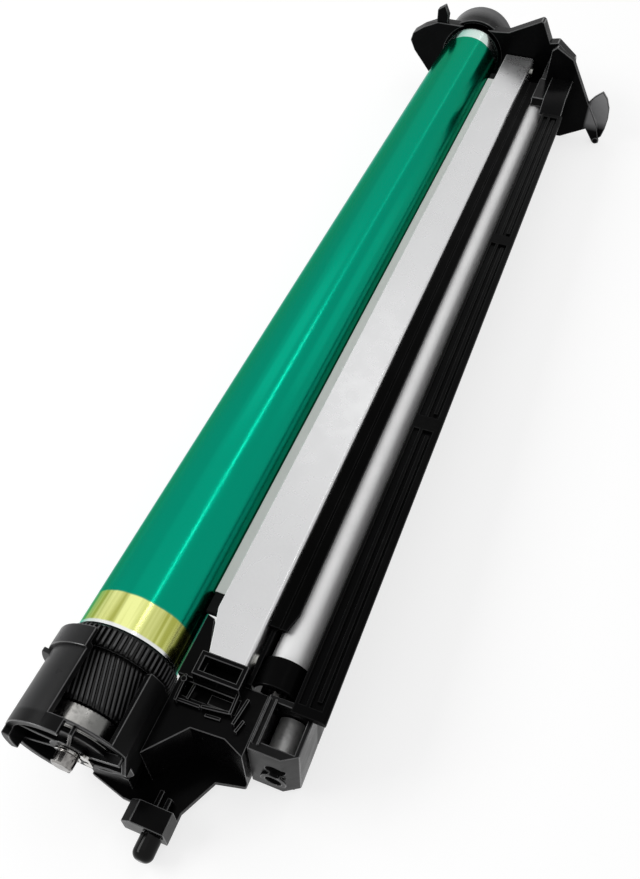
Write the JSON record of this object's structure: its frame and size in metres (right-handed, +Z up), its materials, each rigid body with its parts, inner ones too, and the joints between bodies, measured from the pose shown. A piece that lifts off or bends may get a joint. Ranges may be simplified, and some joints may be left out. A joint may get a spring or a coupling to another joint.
{
  "type": "printer drum unit",
  "caption": "Long coated imaging drum with a helical drive gear in a ribbed shroud, carried beside a blade, waste auger and metal roller in a moulded frame.",
  "frame": {"origin": "on the drum axis, at the middle of the drive-end journal of the drum shaft", "axes": "+Y along the drum to the far end, +Z up as the unit stands on its frame, +X to the cleaning side"},
  "size_m": [0.1125, 0.4362, 0.0452],
  "materials": {
    "drum_coating": "gloss",
    "gear_plastic": "satin",
    "shaft_steel": "ground",
    "spring_steel": "bright",
    "bearing_steel": "ground",
    "shroud_plastic": "satin",
    "housing_plastic": "fine texture",
    "pin_plastic": "gloss",
    "coupling_steel": "turned",
    "auger_plastic": "satin",
    "roller_steel": "ground",
    "bush_plastic": "satin",
    "frame_plastic": "fine texture",
    "bracket_steel": "zinc plated",
    "screw_steel": "zinc plated",
    "urethane": "satin",
    "seal_foam": "matt",
    "film": "gloss",
    "strip_plastic": "satin",
    "rail_plastic": "satin"
  },
  "bodies": {
    "housing": {"drive_bearing": "bearing_steel", "far_bearing": "bearing_steel", "earth_contact": "spring_steel", "gear_shroud": "shroud_plastic", "near_end_housing": "housing_plastic", "locating_pin": "pin_plastic", "right_end_block": "housing_plastic", "idler_pin": "shaft_steel", "roller_bearing_near": "bush_plastic", "roller_bearing_far": "bush_plastic", "main_frame": "frame_plastic", "blade_bracket": "bracket_steel", "bracket_screws": "screw_steel", "cleaning_blade": "urethane", "seal_foam_near": "seal_foam", "seal_foam_far": "seal_foam", "recovery_film": "film", "cover_strip": "strip_plastic", "outer_rail": "rail_plastic", "far_end_housing": "housing_plastic"},
    "drum": {"drum_tube": "drum_coating", "drive_flange": "gear_plastic", "far_flange": "gear_plastic", "drum_shaft": "shaft_steel", "shaft_clip": "spring_steel"},
    "idler": {"idler_gear": "gear_plastic"},
    "auger": {"auger": "auger_plastic", "auger_gear": "gear_plastic"},
    "roller": {"steel_roller": "roller_steel", "roller_shaft": "shaft_steel", "roller_gear": "gear_plastic"},
    "coupling": {"coupling_shaft": "coupling_steel", "coupling_gear": "gear_plastic"}
  },
  "joints": [
    {"name": "drum_spin", "type": "hinge", "parent": "housing", "child": "drum", "pos_m": [0, 0.21445, 0], "axis": [0, 1, 0], "continuous": true},
    {"name": "idler_spin", "type": "hinge", "parent": "housing", "child": "idler", "pos_m": [0.01832, 0.0274, -0.01027], "axis": [0, 1, 0], "continuous": true},
    {"name": "auger_spin", "type": "hinge", "parent": "housing", "child": "auger", "pos_m": [0.0296, 0.21445, -0.0125], "axis": [0, 1, 0], "continuous": true},
    {"name": "roller_spin", "type": "hinge", "parent": "housing", "child": "roller", "pos_m": [0.0419, 0.21445, -0.0035], "axis": [0, 1, 0], "continuous": true},
    {"name": "coupling_spin", "type": "hinge", "parent": "housing", "child": "coupling", "pos_m": [0.04837, 0.0307, -0.0082], "axis": [0, 1, 0], "continuous": true}
  ],
  "couplings": [
    {"joint": "idler_spin", "follows": "drum_spin", "ratio": -2.8182},
    {"joint": "auger_spin", "follows": "drum_spin", "ratio": 2.5833},
    {"joint": "coupling_spin", "follows": "roller_spin", "ratio": -1}
  ]
}
